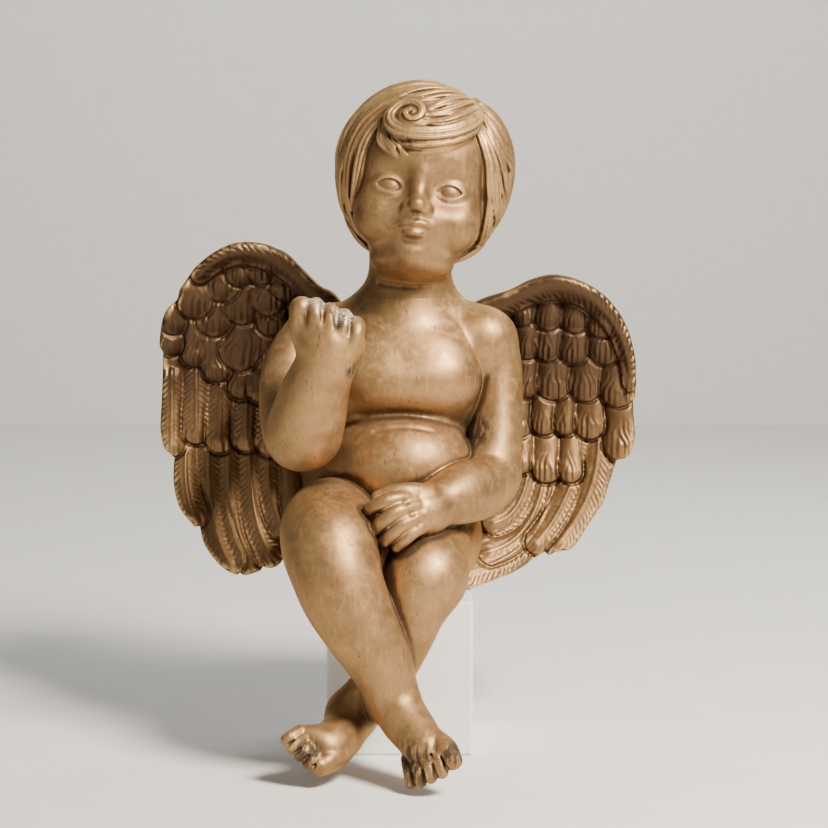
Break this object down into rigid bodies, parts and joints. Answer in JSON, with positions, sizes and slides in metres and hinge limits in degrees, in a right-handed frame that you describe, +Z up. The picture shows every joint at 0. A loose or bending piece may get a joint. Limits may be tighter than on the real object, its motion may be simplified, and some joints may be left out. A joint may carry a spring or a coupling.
{
  "type": "angel figurine",
  "caption": "Seated cherub figurine with open feathered wings, one hand raised, legs crossed at the ankles; it sits on a shelf's edge with its legs hanging over.",
  "frame": {"origin": "middle of the felt pad's underside, on the shelf", "axes": "+Z up, -Y the way the figure faces, +X to the figure's left"},
  "size_m": [0.211, 0.1373, 0.2847],
  "materials": {
    "antique_gold_resin": "cast resin with rubbed antique-gold paint over a dark brown undercoat, satin",
    "dowel_steel": "plain cut rod",
    "plug_rubber": "matt black",
    "pad_felt": "dark felt, self-adhesive"
  },
  "bodies": {
    "root": {"torso": "antique_gold_resin", "head": "antique_gold_resin", "right_arm": "antique_gold_resin", "left_arm": "antique_gold_resin", "right_leg": "antique_gold_resin", "left_leg": "antique_gold_resin", "right_wing": "antique_gold_resin", "left_wing": "antique_gold_resin", "neck_dowel": "dowel_steel", "right_shoulder_dowel": "dowel_steel", "left_shoulder_dowel": "dowel_steel", "right_hip_dowel": "dowel_steel", "left_hip_dowel": "dowel_steel", "pour_hole_plug": "plug_rubber", "felt_pad": "pad_felt"}
  },
  "joints": []
}
